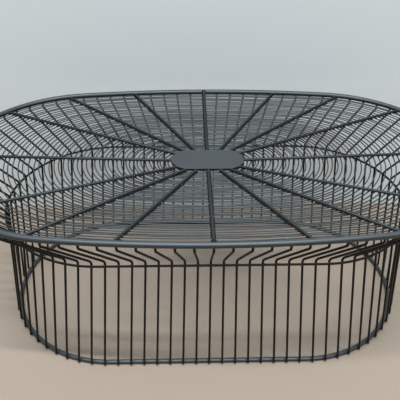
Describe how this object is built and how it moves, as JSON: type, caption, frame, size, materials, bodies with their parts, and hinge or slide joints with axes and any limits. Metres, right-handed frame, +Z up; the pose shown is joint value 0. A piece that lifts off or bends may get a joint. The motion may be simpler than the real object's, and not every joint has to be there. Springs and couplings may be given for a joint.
{
  "type": "coffee table",
  "caption": "Low oval coffee table of black welded wire: a shallow dished top of concentric rings and spokes round a centre plate, on a waisted skirt of upright wires.",
  "frame": {"origin": "on the floor under the middle of the table", "axes": "+X along the long axis, -Y towards the front, +Z up"},
  "size_m": [1.1, 0.6, 0.3935],
  "materials": {
    "black_plate": "semi-gloss black powder coat",
    "black_rod": "semi-gloss black powder coat",
    "black_wire": "semi-gloss black powder coat"
  },
  "bodies": {
    "root": {"centre_plate": "black_plate", "rim_rod": "black_rod", "base_ring": "black_rod", "spoke_01": "black_rod", "spoke_02": "black_rod", "spoke_03": "black_rod", "spoke_04": "black_rod", "spoke_05": "black_rod", "spoke_06": "black_rod", "spoke_07": "black_rod", "spoke_08": "black_rod", "spoke_09": "black_rod", "spoke_10": "black_rod", "spoke_11": "black_rod", "spoke_12": "black_rod", "spoke_13": "black_rod", "spoke_14": "black_rod", "spoke_15": "black_rod", "spoke_16": "black_rod", "top_ring_01": "black_wire", "top_ring_03": "black_wire", "top_ring_05": "black_wire", "top_ring_07": "black_wire", "top_ring_09": "black_wire", "top_ring_11": "black_wire", "top_ring_13": "black_wire", "top_ring_15": "black_wire", "top_ring_17": "black_wire", "top_ring_19": "black_wire", "top_ring_21": "black_wire", "top_ring_23": "black_wire", "top_ring_25": "black_wire", "top_ring_27": "black_wire", "top_ring_29": "black_wire", "top_ring_31": "black_wire", "top_ring_33": "black_wire", "top_ring_35": "black_wire", "top_ring_37": "black_wire", "top_ring_39": "black_wire", "top_ring_41": "black_wire", "top_ring_43": "black_wire", "top_ring_45": "black_wire", "top_ring_47": "black_wire", "skirt_panel_01": "black_wire", "skirt_panel_02": "black_wire", "skirt_panel_03": "black_wire", "skirt_panel_04": "black_wire", "skirt_panel_05": "black_wire", "skirt_panel_06": "black_wire", "skirt_panel_07": "black_wire", "skirt_panel_08": "black_wire", "skirt_panel_09": "black_wire", "skirt_panel_10": "black_wire", "skirt_panel_11": "black_wire", "skirt_panel_12": "black_wire"}
  },
  "joints": []
}
